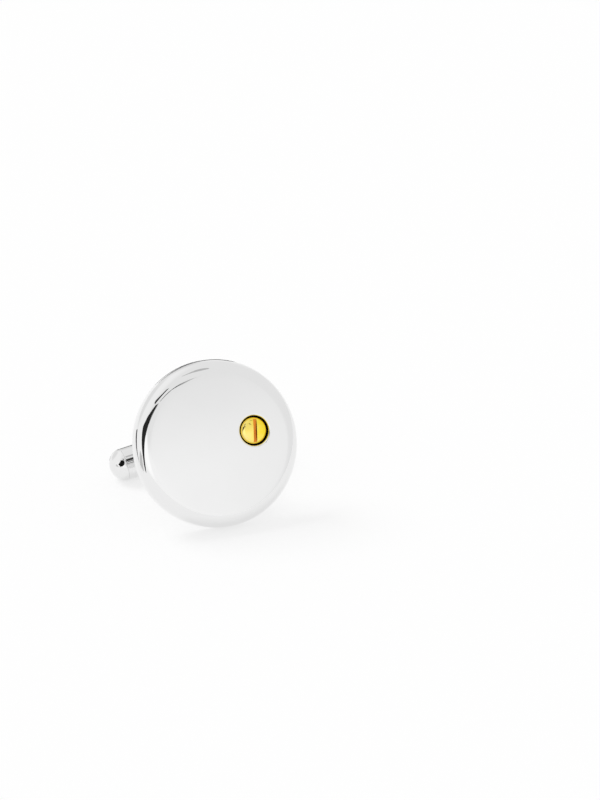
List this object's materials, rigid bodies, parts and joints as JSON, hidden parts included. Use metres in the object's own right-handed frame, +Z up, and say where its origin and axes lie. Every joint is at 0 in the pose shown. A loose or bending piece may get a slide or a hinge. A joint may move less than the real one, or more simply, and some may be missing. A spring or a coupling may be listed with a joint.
{
  "type": "cufflink",
  "caption": "Cufflink with a round polished face disc, a small slotted gold screw set off centre, and a swivelling bullet toggle carried in a forked post.",
  "frame": {"origin": "on the table, under the middle of the part's box, with the part standing as in the picture on the disc's rim, the lower fork arm and the left end of the toggle", "axes": "+Z up from the table; the disc faces -Y and leans back; +X to the right as one faces the disc, roughly along the toggle"},
  "size_m": [0.0206, 0.0206, 0.0185],
  "materials": {
    "rhodium_plate": "mirror polished rhodium plate over brass",
    "gold_plate": "polished gold plate",
    "plain_steel": "turned bright steel",
    "spring_steel": "rolled and tempered spring strip"
  },
  "bodies": {
    "face": {"face_disc": "rhodium_plate", "gold_screw": "gold_plate", "foot": "rhodium_plate", "fork": "rhodium_plate", "pivot_pin": "plain_steel", "detent_cam": "plain_steel"},
    "toggle": {"toggle_tube": "rhodium_plate", "end_cap_left": "rhodium_plate", "end_cap_right": "rhodium_plate", "leaf_spring_front": "spring_steel", "leaf_spring_back": "spring_steel"}
  },
  "joints": [
    {"name": "toggle_swivel", "type": "hinge", "parent": "face", "child": "toggle", "pos_m": [0.00055, 0.00788, 0.00307], "axis": [-0.1182, 0.4491, 0.8856], "continuous": true, "deforming": ["leaf_spring_front", "leaf_spring_back"]}
  ]
}
